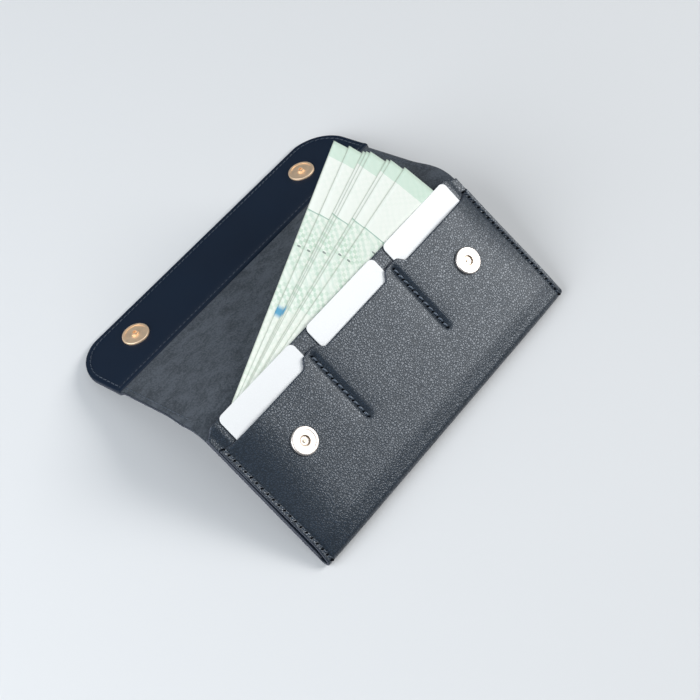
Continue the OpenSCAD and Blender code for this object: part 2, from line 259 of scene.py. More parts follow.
def shell(name, top, thickness=None, bottom=None, joint=None):
    """Closed sheet between a grid of points and the grid a thickness in mm behind it.

    Its edges are rounded by bevel weights, but for the "first" or "last" row where it goes on
    into another sheet: that one stays sharp.
    """
    rows, cols = top.shape[:2]
    if bottom is None:
        bottom = top - grid_normals(top) * thickness * MM
    half = rows * cols
    verts = np.concatenate([top.reshape(-1, 3), bottom.reshape(-1, 3)])
    i, j = np.meshgrid(np.arange(rows - 1), np.arange(cols - 1), indexing="ij")
    a = (i * cols + j).ravel()
    quads = np.stack([a, a + 1, a + cols + 1, a + cols], 1)
    ring = [(0, j) for j in range(cols - 1)]
    ring += [(i, cols - 1) for i in range(rows - 1)]
    ring += [(rows - 1, j) for j in range(cols - 1, 0, -1)]
    ring += [(i, 0) for i in range(rows - 1, 0, -1)]
    ids = np.array([i * cols + j for i, j in ring])
    after = np.roll(ids, -1)
    rim = np.stack([ids, ids + half, after + half, after], 1)
    mesh = bpy.data.meshes.new(name)
    mesh.from_pydata(verts.tolist(), [], quads.tolist() + (quads[:, ::-1] + half).tolist() + rim.tolist())
    mesh.update()

    joint_row = {"first": 0, "last": rows - 1}.get(joint, -1)
    kinds = {}
    for a, b in zip(ids, after):
        sewn_on = a // cols == joint_row and b // cols == joint_row
        for c, d in ((a, b), (a + half, b + half)):
            kinds[(min(c, d), max(c, d))] = "sharp" if sewn_on else "round"
    ends = np.empty(len(mesh.edges) * 2, np.int32)
    mesh.edges.foreach_get("vertices", ends)
    ends = np.sort(ends.reshape(-1, 2), 1)
    found = [kinds.get((int(a), int(b))) for a, b in ends]
    weight = mesh.attributes.new("bevel_weight_edge", "FLOAT", "EDGE")
    weight.data.foreach_set("value", np.array([k == "round" for k in found], np.float32))
    sharp = mesh.attributes.new("sharp_edge", "BOOLEAN", "EDGE")
    sharp.data.foreach_set("value", np.array([k == "sharp" for k in found], bool))
    slots = np.zeros(len(mesh.polygons), np.int32)
    slots[2 * len(quads):] = 1
    mesh.polygons.foreach_set("material_index", slots)
    mesh.polygons.foreach_set("use_smooth", np.ones(len(mesh.polygons), bool))
    return new_object(name, mesh)


def finish_mesh(thing, width_mm, segments=2, by="WEIGHT"):
    """Rounds a piece's edges and leaves one plain mesh at the origin."""
    bevel = thing.modifiers.new("Rounding", "BEVEL")
    bevel.width = width_mm * MM
    bevel.segments = segments
    bevel.limit_method = by
    depsgraph = bpy.context.evaluated_depsgraph_get()
    mesh = bpy.data.meshes.new_from_object(thing.evaluated_get(depsgraph))
    thing.modifiers.clear()
    thing.data = mesh
    return thing


def dress(thing, *names):
    """Gives a piece its materials: its face's, then its cut edge's."""
    for name in names:
        thing.data.materials.append(finish_of(name))
    return thing


# ---------------------------------------------------------------- materials

# Pattern scales, in repeats to the metre, from the real size of what each one draws.
PEBBLES = 820.0  # embossed pebbles 1.2 mm across
PEBBLE_WANDER = 450.0  # their outlines wander over 2.2 mm
HIDE_CLOUDS = 70.0  # clouds of dye 14 mm across
HIDE_PORES = 2400.0  # pores 0.4 mm apart
EDGE_FIBRES = 1300.0  # cut fibres 0.8 mm apart
HOLE_FIBRES = 1500.0  # fibres 0.7 mm apart
COAT_PORES = 1900.0  # pores 0.5 mm apart
COAT_CLOUDS = 35.0  # clouds 29 mm across
NAP_MARKS = 190.0  # brushed marks 5 mm across
NAP_TUFTS = 1000.0  # tufts 1 mm apart, coarser than the real nap so that they show
THREAD_TWIST = 900.0  # ribs 0.7 mm apart, coarser than the real twist so that they show
TUMBLE_RIPPLE = 500.0  # ripples 2 mm across
LAMINATE_GRAIN = 3000.0  # satin grain 0.3 mm across
BOARD_CLOUDS = 2.0  # clouds half a metre across

NODE_STEP, NODE_ROW = 260, 8  # spacing of the nodes in a tree, and how many stand in a row


def add_node(tree, kind, values=None, links=None, stops=(), **settings):
    """Adds one node with its settings, its inputs' values, the links into it and a ramp's stops.

    A shader node goes by its short name. A link comes from an output, or from a node's first
    output if the node itself is given.
    """
    count = len(tree.nodes)
    node = tree.nodes.new(kind if "Node" in kind else f"ShaderNode{kind}")
    node.location = (NODE_STEP * (count % NODE_ROW), -NODE_STEP * (count // NODE_ROW))
    for key, value in settings.items():
        setattr(node, key, value)
    for key, value in (values or {}).items():
        node.inputs[key].default_value = value
    for key, source in (links or {}).items():
        tree.links.new(getattr(source, "outputs", [source])[0], node.inputs[key])
    if stops:
        elements = node.color_ramp.elements
        while len(elements) < len(stops):
            elements.new(0.5)
        for element, (position, rgba) in zip(elements, stops):
            element.position = position
            element.color = rgba
    return node


def new_material(name, uv_map=None):
    """A material with an empty tree, the function that adds nodes to it, and the place on the
    piece: its own metres, or a UV map."""
    material = bpy.data.materials.new(name)
    material.use_nodes = True
    material.node_tree.nodes.clear()
    add = partial(add_node, material.node_tree)
    if uv_map:
        return material, add, add("UVMap", uv_map=uv_map).outputs["UV"]
    return material, add, add("TexCoord").outputs["Object"]


def close_material(material, values, links):
    """Ends a material's tree in its shader and output."""
    shader = add_node(material.node_tree, "BsdfPrincipled", values, links)
    add_node(material.node_tree, "OutputMaterial", links={"Surface": shader})
    return material


def darker(rgba, share):
    """A colour at a share of its brightness."""
    return (*[c * share for c in rgba[:3]], 1.0)


def pebbled_leather():
    """Cowhide embossed with a pebble grain under a clear polyurethane topcoat: rounded pebbles
    1.2 mm across with a satin sheen on their tops, and matt creases between them, darkened with painted shade."""
    material, add, place = new_material("Pebbled_cowhide")
    wander = add("TexNoise", {"Scale": PEBBLE_WANDER, "Detail": 2.0}, {"Vector": place})
    centred = add("VectorMath", {1: (0.5, 0.5, 0.5)}, {0: wander.outputs["Color"]}, operation="SUBTRACT")
    small = add("VectorMath", {"Scale": 1.8 * MM}, {0: centred}, operation="SCALE")
    warped = add("VectorMath", None, {0: place, 1: small}, operation="ADD")
    cells = add("TexVoronoi", {"Scale": PEBBLES}, {"Vector": warped}, feature="DISTANCE_TO_EDGE")
    domes = add("TexVoronoi", {"Scale": PEBBLES}, {"Vector": warped})
    clouds = add("TexNoise", {"Scale": HIDE_CLOUDS, "Detail": 3.0}, {"Vector": place})
    pores = add("TexNoise", {"Scale": HIDE_PORES, "Detail": 2.0}, {"Vector": place})
    crease = add("MapRange", {"From Min": 0.0, "From Max": 0.3},
                 {"Value": cells}, interpolation_type="SMOOTHSTEP")
    # Heights of the pebbles' domes and of the pores, as shares of the bump's full height.
    dome = add("Math", {1: -0.35}, {0: domes}, operation="MULTIPLY")
    body = add("Math", None, {0: crease, 1: dome}, operation="ADD")
    pitted = add("Math", {1: 0.25}, {0: pores}, operation="MULTIPLY")
    height = add("Math", None, {0: body, 1: pitted}, operation="ADD")
    cloud = add("MapRange", {"To Min": 0.8, "To Max": 1.12}, {"Value": clouds})
    tone = add("Math", None, {0: crease, 1: cloud}, operation="MULTIPLY")
    # The colour darkens into the creases as painted shade; the clouds are the dye's own uneven tone.
    tint = add("ValToRGB", None, {"Fac": tone}, [(0.1, shades().crease_shade), (0.95, shades().leather)])
    gloss = add("MapRange", {"To Min": 0.6, "To Max": 0.42}, {"Value": crease})
    sheen = add("MapRange", {"To Min": 0.3, "To Max": 1.0}, {"Value": tone})
    bump = add("Bump", {"Strength": 0.34, "Distance": 0.14 * MM}, {"Height": height})
    return close_material(
        material,
        {"IOR": 1.5, "Specular Tint": linear("#DCEAF2"), "Coat Roughness": 0.29},
        {"Base Color": tint, "Roughness": gloss, "Normal": bump, "Coat Weight": sheen, "Coat Normal": bump},
    )


def grained(name, values, scale, detail, stops, relief=None):
    """A finish whose colour follows one noise pattern, and so does its relief if it has one,
    which is given as its strength and its depth in mm."""
    material, add, place = new_material(name)
    grain = add("TexNoise", {"Scale": scale, "Detail": detail}, {"Vector": place})
    links = {"Base Color": add("ValToRGB", None, {"Fac": grain}, stops)}
    if relief:
        strength, depth = relief
        links["Normal"] = add("Bump", {"Strength": strength, "Distance": depth * MM}, {"Height": grain})
    return close_material(material, values, links)


def cut_edge():
    """Raw cut edge of cowhide: matt, with the fibres showing as short streaks."""
    stops = [(0.3, darker(shades().edge, 0.45)), (0.7, shades().edge)]
    return grained("Raw_leather_edge", {"Roughness": 0.85}, EDGE_FIBRES, 4.0, stops, (0.6, 0.15))


def smooth_leather():
    """Split leather with a smooth coated face: near-flat, with hair-fine pores and a soft sheen."""
    material, add, place = new_material("Smooth_coated_leather")
    pores = add("TexNoise", {"Scale": COAT_PORES, "Detail": 3.0}, {"Vector": place})
    cloud = add("TexNoise", {"Scale": COAT_CLOUDS, "Detail": 4.0}, {"Vector": place})
    tint = add("ValToRGB", None, {"Fac": cloud}, [(0.3, linear("#091829")), (0.7, shades().smooth)])
    bump = add("Bump", {"Strength": 0.25, "Distance": 0.06 * MM}, {"Height": pores})
    return close_material(material, {"Roughness": 0.55, "Specular IOR Level": 0.25},
                          {"Base Color": tint, "Normal": bump})


def suede_lining():
    """Brushed microsuede: a short matt nap that lies both ways, in cloudy marks 3 to 8 mm wide."""
    material, add, place = new_material("Brushed_microsuede")
    brushed = add("Mapping", {"Scale": (0.55, 1.0, 1.0), "Rotation": (0.0, 0.0, 0.35)}, {"Vector": place})
    marks = add("TexNoise", {"Scale": NAP_MARKS, "Detail": 5.0, "Roughness": 0.68, "Distortion": 0.6},
                {"Vector": brushed})
    fuzz = add("TexNoise", {"Scale": NAP_TUFTS, "Detail": 4.0, "Roughness": 0.75}, {"Vector": place})
    hairs = add("Math", {1: 1.2, 2: -0.24}, {0: fuzz}, operation="MULTIPLY_ADD")
    nap = add("Math", None, {0: marks, 1: hairs}, operation="ADD")
    tint = add("ValToRGB", None, {"Fac": nap}, [(0.68, shades().suede_dark), (1.0, shades().suede)])
    bump = add("Bump", {"Strength": 0.7, "Distance": 0.25 * MM}, {"Height": nap})
    return close_material(
        material,
        {"Roughness": 0.95, "Specular IOR Level": 0.2, "Sheen Weight": 0.15, "Sheen Roughness": 0.5},
        {"Base Color": tint, "Normal": bump},
    )


def waxed_thread(name, base):
    """Waxed polyester thread, twisted: fine slanting ribs with a dull shine."""
    material, add, place = new_material(name)
    twist = add("TexWave", {"Scale": THREAD_TWIST, "Distortion": 1.0},
                {"Vector": place}, bands_direction="DIAGONAL").outputs["Fac"]
    tint = add("ValToRGB", None, {"Fac": twist}, [(0.2, darker(base, 0.6)), (0.8, base)])
    bump = add("Bump", {"Strength": 0.5, "Distance": 0.1 * MM}, {"Height": twist})
    return close_material(material, {"Roughness": 0.32, "Coat Weight": 0.6, "Coat Roughness": 0.3},
                          {"Base Color": tint, "Normal": bump})


def awl_hole_shade():
    """Inside of an awl hole in the leather: dry and open, painted near black as the shade inside it."""
    # Near-black colours: painted shade inside the hole.
    stops = [(0.3, linear("#020408")), (0.7, linear("#070A10"))]
    return grained("Awl_hole", {"Roughness": 1.0, "Specular IOR Level": 0.1}, HOLE_FIBRES, 2.0, stops)


def plated_metal(name, base, roughness, bores=False):
    """Plated zinc alloy, tumbled smooth: metallic, with the faint ripple that tumbling leaves.

    In a socket's bore, a ring of painted shade darkens the corner.
    """
    material, add, place = new_material(name)
    ripple = add("TexNoise", {"Scale": TUMBLE_RIPPLE, "Detail": 2.0}, {"Vector": place})
    haze = add("MapRange", {"To Min": roughness - 0.05, "To Max": roughness + 0.08}, {"Value": ripple})
    tint = add("ValToRGB", None, {"Fac": ripple}, [(0.3, darker(base, 0.92)), (0.7, base)])
    bump = add("Bump", {"Strength": 0.15, "Distance": 0.04 * MM}, {"Height": ripple})
    if bores:
        # Both sockets mirror each other, so the left one is folded onto the right one's centre.
        low, high = (span("right_snap_socket", FOOT, axis) for axis in (ALONG, UP))
        centre = on_pouch(sum(low) / 2, sum(high) / 2, span("right_snap_socket", FOOT, OUT)[1])
        mirrored = add("VectorMath", None, {0: place}, operation="ABSOLUTE")
        sides = add("SeparateXYZ", None, {0: mirrored})
        plain = add("SeparateXYZ", None, {0: place})
        folded = add("CombineXYZ", None, {0: sides, 1: plain.outputs[1], 2: plain.outputs[2]})
        away = add("VectorMath", {1: tuple(centre)}, {0: folded}, operation="DISTANCE")
        # The ring's stops are shares of 4 mm from the centre.
        radius = add("Math", {1: 1 / (4 * MM)}, {0: away.outputs["Value"]}, operation="MULTIPLY")
        # The ring darkens at the bore's wall: painted shade.
        core, bare, bore_shade = shades().core, linear("#FFFFFF"), shades().bore
        ring = add("ValToRGB", None, {"Fac": radius},
                   [(0.4, core), (0.46, bare), (0.57, bare), (0.63, bore_shade), (0.7, bore_shade), (0.74, bare)])
        tint = add("MixRGB", {"Fac": 1.0}, {"Color1": tint, "Color2": ring}, blend_type="MULTIPLY")
    return close_material(material, {"Metallic": 1.0},
                          {"Base Color": tint, "Roughness": haze, "Normal": bump})


def card_plastic():
    """White PVC card stock with a fine satin laminate."""
    stops = [(0.3, linear("#E9E8E5")), (0.7, shades().card)]
    values = {"Roughness": 0.38, "IOR": 1.53}
    return grained("Satin_PVC_card", values, LAMINATE_GRAIN, 1.0, stops, (0.08, 0.03))


def note_paper():
    """Cotton banknote paper with a pale print: a tinted end band, a plain window, a thin rule and
    a field of 2 mm checks with a wavy overprint and a few short dashes. It holds no words, numbers
    or pictures. Its UV map is in mm along and across the note."""
    material, add, flat = new_material("Printed_cotton_paper", "print")
    parts = add("SeparateXYZ", None, {0: flat})

    def within(low, high, output="X"):
        """1 between two places along the note, 0 elsewhere, in mm."""
        rise = add("Math", {1: low}, {0: parts.outputs[output]}, operation="GREATER_THAN")
        fall = add("Math", {1: high}, {0: parts.outputs[output]}, operation="LESS_THAN")
        return add("Math", None, {0: rise, 1: fall}, operation="MULTIPLY")

    checks = add("TexChecker",
                 {"Scale": 1 / 2.0, "Color1": shades().paper, "Color2": shades().ink}, {"Vector": flat})
    waves = add("TexWave", {"Scale": 0.11, "Distortion": 5.0, "Detail": 1.0},
                {"Vector": flat}, bands_direction="DIAGONAL")
    curls = add("MapRange", {"From Min": 0.55, "From Max": 0.75}, {"Value": waves.outputs["Fac"]})
    blotch = add("TexNoise", {"Scale": 0.09, "Detail": 2.0}, {"Vector": flat})
    worn = add("MapRange", {"From Min": 0.35, "From Max": 0.65}, {"Value": blotch})
    field = add("Math", None, {0: within(82.0, 107.5), 1: within(2.0, 18.0, "Y")}, operation="MULTIPLY")
    drawn = add("Mapping", {"Scale": (0.3, 0.13, 1.0)}, {"Vector": flat})
    dots = add("TexVoronoi", {"Scale": 1.0}, {"Vector": drawn})
    strokes = add("Math", {1: 0.17}, {0: dots}, operation="LESS_THAN")
    dashes = add("Math", None, {0: field, 1: strokes}, operation="MULTIPLY")
    patch = add("Attribute", attribute_name="patch").outputs["Fac"]

    # Inks from the bottom up, with a thin line of painted shadow along one edge among them: where each lies, its
    # colour and how well it covers.
    printed = add("MixRGB", {"Color1": shades().paper}, {"Fac": worn, "Color2": checks})
    for where, hex_value, cover in (
        (curls, "#A8C9B4", 0.22),
        (within(-20.0, 52.0), "#F1EFE2", 0.5),
        (within(109.5, 141.0), "#F0F1E6", 0.85),
        (within(141.0, 200.0), "#CFE1CE", 0.85),
        (within(108.8, 109.4), "#7FA894", 0.7),
        (dashes, "#455E52", 0.75),
        # A thin dark line along the note's edge: painted shadow of the edge, not ink.
        (within(-1.0, 0.5, "Y"), "#B3B9A6", 0.6),
        (patch, "#4E9BBD", 0.95),
    ):
        amount = add("Math", {1: cover}, {0: where}, operation="MULTIPLY")
        printed = add("MixRGB", {"Color2": linear(hex_value)}, {"Fac": amount, "Color1": printed})
    fibre = add("TexNoise", {"Scale": 6.0, "Detail": 4.0}, {"Vector": flat})
    bump = add("Bump", {"Strength": 0.2, "Distance": 0.05 * MM}, {"Height": fibre})
    return close_material(material, {"Roughness": 0.75}, {"Base Color": printed, "Normal": bump})


def painted_floor():
    """Matt seamless backdrop board."""
    stops = [(0.2, darker(shades().floor, 0.98)), (0.8, shades().floor)]
    return grained("Matt_backdrop_board", {"Roughness": 0.85}, BOARD_CLOUDS, 1.0, stops)


FINISHES = {
    "pebbled": pebbled_leather,
    "cut edge": cut_edge,
    "smooth": smooth_leather,
    "suede": suede_lining,
    "side thread": lambda: waxed_thread("Waxed_side_thread", shades().thread),
    # Lighter copy of the thread: painted sheen.
    "pocket thread": lambda: waxed_thread("Waxed_pocket_thread", shades().thread_painted_sheen),
    "awl hole": awl_hole_shade,
    "flap thread": lambda: waxed_thread("Waxed_flap_thread", shades().thread_pale),
    "pale gold": lambda: plated_metal("Pale_gold_plate", shades().socket, 0.4, bores=True),
    "rose gold": lambda: plated_metal("Rose_gold_plate", shades().stud, 0.58),
    "steel": lambda: plated_metal("Nickel_plated_steel", linear("#C9C9C6"), 0.35),
    "card": card_plastic,
    "paper": note_paper,
    "floor": painted_floor,
}
_made = {}


def finish_of(name):
    """The material of that name, made once."""
    if name not in _made:
        _made[name] = FINISHES[name]()
    return _made[name]


# ---------------------------------------------------------------- the pouch's shape

# Fixed details of the soft shape, in mm.
OPEN_FROM, OPEN_TO = 72.0, 8.0  # heights between which the side seams open toward the foot
TAPER, TAPER_FROM, TAPER_TO = 0.13, 14.0, 1.0  # share lost by the front's thickness near the foot
GROOVE_D, GROOVE_W = 0.45, 0.7  # groove that a side seam pulls into the front
DIMPLE_PARTS = ((0.75, 1.9), (0.25, 7.0))  # shares and reaches of a pocket seam's dimple
CORNER_RISE, CORNER_W = 1.6, 7.0  # rise of the mouth at its ends
CARD_LEAN_FROM, CARD_LEAN_RUN = 64.5, 54.0  # an outer card leans over this distance to the side
EDGE_GAP = 0.3  # least gap between the last two columns
SHEET_STEP = 1.6  # spacing of the flap's columns and rows


def columns():
    """Places across the wallet, closer together at the seams and the tabs."""
    across = np.sort(np.concatenate([
        np.arange(0, HALF, 1.5), np.arange(SEAM_X - 12, SEAM_X + 12, 0.5), np.arange(HALF - 9, HALF, 0.6)
    ]))
    across = across[np.concatenate([[True], np.diff(across) > 0.2])]
    across = across[across < HALF - EDGE_GAP]
    return np.concatenate([[-HALF], -across[:0:-1], across, [HALF]])


def mouth_height():
    """Height of the pocket mouth between its tabs."""
    return TAB_TOP - sizes().tab_h


def fullness(x):
    """Share of its full thickness that the pouch has at x: 0 at the side seams, 1 inside."""
    inward = np.clip((HALF - np.abs(x) - sizes().seam_inset - 0.6) / sizes().pinch_w, 0, 1)
    return 1 - (1 - inward) ** 2.2


def front_level(x, y):
    """Height of the pouch's outer front over its back, in mm."""
    seam_t = sizes().seam_t + sizes().foot_open * ease((OPEN_FROM - y) / (OPEN_FROM - OPEN_TO))
    level = seam_t + (POUCH_T - seam_t) * fullness(x)
    level = level * (1 - TAPER * ease((TAPER_FROM - y) / (TAPER_FROM - TAPER_TO)))
    groove = (HALF - np.abs(x) - sizes().seam_inset) / GROOVE_W
    level = level - GROOVE_D * np.exp(-(groove**2))
    sewn = ease((y - SEAM_LOW + 3) / 4) * ease((SEAM_HIGH + 5 - y) / 5)
    for side in (-1, 1):
        away = np.abs(x - side * SEAM_X)
        drawn_in = sum(share * np.exp(-((away / reach) ** 2)) for share, reach in DIMPLE_PARTS)
        level = level - sewn * sizes().dimple * drawn_in
    return level


def mouth_line(x):
    """Height of the pocket mouth at x, with a tab over each pocket seam."""
    line = np.full_like(x, mouth_height())
    for side in (-1, 1):
        out = np.abs(x - side * SEAM_X) - sizes().tab_w / 2
        line = line + sizes().tab_h * (1 - ease(out / sizes().tab_flare))
    return line + CORNER_RISE * ease((CORNER_W - (HALF - np.abs(x))) / CORNER_W)


def card_drop(x):
    """Drop at x of the outer cards, which lean outward into the pinched sides."""
    edge = HALF - np.abs(x)
    return sizes().card_tilt * np.clip((CARD_LEAN_FROM - edge) / CARD_LEAN_RUN, 0, 1)


def divider_level(x):
    """Height of the divider's face over the back: under the cards, then down to the side seams."""
    low = sizes().seam_t - LEATHER_T - 0.05
    card_face = DIVIDER_TOP_N - card_drop(x)
    edge = HALF - np.abs(x)
    return low + (card_face - low) * ease((edge - 2.5) / 5.5)


def pouch_outline():
    """Grid of the outer leather's outer face: down the front, round the foot and up the back."""
    x = columns()
    mouth = mouth_line(x)
    foot_d = 0.5 * front_level(x, np.full_like(x, 4.0))
    rows = []
    for t in np.linspace(0, 1, 62):
        y = mouth + (foot_d - mouth) * t
        narrow = 1 - sizes().front_inset / HALF * ease(y / 12)
        rows.append(on_pouch(x * narrow, y, front_level(x, y)))
    last = front_level(x, foot_d)
    for t in np.linspace(0, 1, 14)[1:]:
        angle = t * math.pi
        rows.append(on_pouch(x, foot_d * (1 - math.sin(angle)), last / 2 * (1 + math.cos(angle))))
    start = float(foot_d.max()) + 2
    for s in np.concatenate([np.linspace(start, POUCH_H - 9, 22) - POUCH_H, np.linspace(-8, SPLIT_S, 18)]):
        rows.append(on_back(x, np.full_like(x, s), np.zeros_like(x)))
    return np.array(rows)[:, ::-1]


def flap_rows(start, stop=None):
    """Rows of the flap from start to stop, or to its round tip, and the half width at each."""
    r = sizes().tip_r
    straight = FLAP_TIP - r if stop is None else stop
    rows = np.linspace(start, straight, int((straight - start) / SHEET_STEP) + 2)
    waist = sizes().waist * ease((rows - SPLIT_S) / 14) * (1 - ease((rows - FACING_S + 1.4) / 1.2))
    width = HALF - waist
    if stop is None:
        turn = np.linspace(0, math.pi / 2, 20)[1:]
        rows = np.concatenate([rows, straight + r * np.sin(turn)])
        width = np.concatenate([width, HALF - r * (1 - np.cos(turn))])
    return rows, width


def flap_grid(start, level, inset=0.0, stop=None):
    """Grid of a sheet on the back leaf, from start to stop or to the tip, at a level over it."""
    rows, width = flap_rows(start, stop)
    u = np.linspace(-1, 1, 2 * int(HALF / SHEET_STEP) + 1)
    x = (width[:, None] - inset) * u[None, :]
    s = np.repeat(rows[:, None], len(u), 1)
    return on_back(x, s, np.full_like(x, level))


# ---------------------------------------------------------------- stitches

SEED = 3  # of the stitches' slight shake


def stitch_tree():
    """Geometry nodes that lay one stitch at every pitch along the paths of a mesh."""
    tree = bpy.data.node_groups.new("Stitches", "GeometryNodeTree")
    add = partial(add_node, tree)
    face = tree.interface
    face.new_socket("Geometry", in_out="INPUT", socket_type="NodeSocketGeometry")
    for name, default in (("Pitch", 4 * MM), ("Stitch length", 3 * MM), ("Thread width", 0.8 * MM), ("Slant", 0)):
        face.new_socket(name, in_out="INPUT", socket_type="NodeSocketFloat").default_value = default
    face.new_socket("Seed", in_out="INPUT", socket_type="NodeSocketInt").default_value = SEED
    face.new_socket("Material", in_out="INPUT", socket_type="NodeSocketMaterial")
    face.new_socket("Geometry", in_out="OUTPUT", socket_type="NodeSocketGeometry")
    given = add("NodeGroupInput").outputs
    path = add("GeometryNodeMeshToCurve", None, {"Mesh": given["Geometry"]})
    even = add("GeometryNodeResampleCurve", None, {"Curve": path, "Length": given["Pitch"]}, mode="LENGTH")
    tangent = add("GeometryNodeInputTangent")
    face_up = add("GeometryNodeInputNamedAttribute", {"Name": "face_up"}, data_type="FLOAT_VECTOR")
    along = add("FunctionNodeAlignRotationToVector", None, {"Vector": tangent}, axis="X")
    upright = add("FunctionNodeAlignRotationToVector", None,
                  {"Rotation": along, "Vector": face_up}, axis="Z", pivot_axis="X")
    shake = add("FunctionNodeRandomValue", {2: -0.05, 3: 0.05}, {"Seed": given["Seed"]}, data_type="FLOAT")
    slant = add("Math", None, {0: given["Slant"], 1: shake.outputs[1]}, operation="ADD")
    turn = add("CombineXYZ", None, {"Z": slant})
    euler = add("FunctionNodeEulerToRotation", None, {0: turn})
    aimed = add("FunctionNodeRotateRotation", None, {0: upright, 1: euler}, rotation_space="LOCAL")
    # One stitch is an arch of thread whose ends go down into the leather.
    arch = add("GeometryNodeCurveQuadraticBezier",
               {"Resolution": 6, "Start": (-0.5, 0, -0.55), "Middle": (0, 0, 0.75), "End": (0.5, 0, -0.55)})
    scale = add("CombineXYZ", None,
                {"X": given["Stitch length"], "Y": given["Thread width"], "Z": given["Thread width"]})
    long_arch = add("GeometryNodeTransform", None, {"Geometry": arch, "Scale": scale})
    radius = add("Math", {1: 0.5}, {0: given["Thread width"]}, operation="MULTIPLY")
    ring = add("GeometryNodeCurvePrimitiveCircle", {"Resolution": 7}, {"Radius": radius})
    stitch = add("GeometryNodeCurveToMesh", {"Fill Caps": True}, {"Curve": long_arch, "Profile Curve": ring})
    placed = add("GeometryNodeInstanceOnPoints", None,
                 {"Points": even, "Instance": stitch, "Rotation": aimed})
    real = add("GeometryNodeRealizeInstances", None, {"Geometry": placed})
    smooth = add("GeometryNodeSetShadeSmooth", None, {0: real})
    painted = add("GeometryNodeSetMaterial", None, {"Geometry": smooth, "Material": given["Material"]})
    add("NodeGroupOutput", None, {0: painted})
    return tree


def sew(name, paths, finish, pitch, length, width, slant):
    """Stitches along paths, each a pair of point rows: the line in metres and the way up.

    Pitch, length and width are in mm, and the slant of each stitch is in radians.
    """
    tree = bpy.data.node_groups.get("Stitches") or stitch_tree()
    verts, edges, ups = [], [], []
    for line, up in paths:
        first = len(verts)
        verts += [tuple(p) for p in line]
        ups += [tuple(u) for u in up]
        edges += [(first + i, first + i + 1) for i in range(len(line) - 1)]
    mesh = bpy.data.meshes.new(name)
    mesh.from_pydata(verts, edges, [])
    attribute = mesh.attributes.new("face_up", "FLOAT_VECTOR", "POINT")
    attribute.data.foreach_set("vector", np.array(ups, np.float32).ravel())
    seam = new_object(name, mesh)
    modifier = seam.modifiers.new("Stitches", "NODES")
    modifier.node_group = tree
    values = {
        "Pitch": pitch * MM,
        "Stitch length": length * MM,
        "Thread width": width * MM,
        "Slant": slant,
        "Seed": SEED,
        "Material": finish_of(finish),
    }
    for item in tree.interface.items_tree:
        if item.in_out == "INPUT" and item.name in values:
            modifier[item.identifier] = values[item.name]
    depsgraph = bpy.context.evaluated_depsgraph_get()
    result = bpy.data.meshes.new_from_object(seam.evaluated_get(depsgraph))
    seam.modifiers.clear()
    seam.data = result
    if not len(result.vertices):
        raise RuntimeError(f"{name} came out empty")
    return seam


def line_on(place, points):
    """Path points and the way up at each, from a place function and (x, y, n) rows in mm."""
    p = np.array(points, float)
    low = place(p[:, 0], p[:, 1], p[:, 2])
    high = place(p[:, 0], p[:, 1], p[:, 2] + 1)
    up = (high - low) / np.linalg.norm(high - low, axis=1, keepdims=True)
    return low, up


# ---------------------------------------------------------------- operators


def stand_in(piece, slot, *nodes):
    """Hides the CAD nodes in whose place a piece stands."""
    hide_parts(*nodes)


class WALLET_OT_stage(bpy.types.Operator):
    """Floor, light and camera"""

    bl_idname = "wallet.stage"
    bl_label = "Stage"

    def execute(self, context):
        mesh = bpy.data.meshes.new("Floor")
        reach = 10.0  # metres
        corners = [(-reach, -reach, 0), (reach, -reach, 0), (reach, reach, 0), (-reach, reach, 0)]
        mesh.from_pydata(corners, [], [(0, 1, 2, 3)])
        floor = new_object("Floor", mesh)
        floor.location.z = CAD_BOX[0][2]
        dress(floor, "floor")

        # A studio's ceiling is bright and its far walls are dark.
        world = bpy.data.worlds.new("Studio")
        world.use_nodes = True
        add = partial(add_node, world.node_tree)
        facing = add("TexCoord").outputs["Generated"]
        parts = add("SeparateXYZ", None, {0: facing})
        shade = add("ValToRGB", None, {"Fac": parts.outputs["Z"]},
                    [(0.0, linear("#2A2E33")), (0.35, linear("#85909B")), (0.62, linear("#525B64")),
                     (0.8, linear("#84909C")), (1.0, linear("#F4FAFF"))])
        sky = world.node_tree.nodes["Background"]
        sky.inputs["Strength"].default_value = 0.85
        world.node_tree.links.new(shade.outputs["Color"], sky.inputs["Color"])
        context.scene.world = world

        middle = Vector((0, 0, 0.03))
        # Softboxes: where each stands, its distance and width in metres, its watts and its tint.
        for name, direction, distance, across, power, tint in (
            ("Key_softbox", (0.62, -0.48, 0.62), 2.4, 1.25, 41.0, "#FCFDFF"),
            ("Side_softbox", (-0.9, 0.3, 0.5), 1.3, 1.2, 21.0, "#F1F7FF"),
        ):
            light = bpy.data.lights.new(name, "AREA")
            light.shape = "SQUARE"
            light.size = across
            light.energy = power
            light.color = linear(tint)[:3]
            lamp = bpy.data.objects.new(name, light)
            context.collection.objects.link(lamp)
            lamp.location = middle + Vector(direction).normalized() * distance
            lamp.rotation_euler = (middle - lamp.location).to_track_quat("-Z", "Y").to_euler()

        camera = bpy.data.objects.new("Camera", bpy.data.cameras.new("Camera"))
        context.collection.objects.link(camera)
        camera.data.sensor_width = 36.0
        camera.data.lens = 77.7
        camera.data.clip_start = 0.02
        spot = FOOT + (-330.5 * ALONG + 175.7 * UP + 676.8 * OUT) * MM
        right = Vector(0.6143 * ALONG - 0.6791 * UP + 0.4019 * OUT).normalized()
        up = Vector(0.6675 * ALONG + 0.7188 * UP + 0.1943 * OUT)
        up = (up - right * up.dot(right)).normalized()
        turned = Matrix((right, up, right.cross(up))).transposed().to_4x4()
        camera.matrix_world = Matrix.Translation(Vector(spot)) @ turned
        context.scene.camera = camera
        context.scene.view_settings.view_transform = "Standard"
        return {"FINISHED"}


CREASE_REACH, FOLD_REACH = 8.0, 7.5  # mm on each side of a joint where a piece's bend would start and end


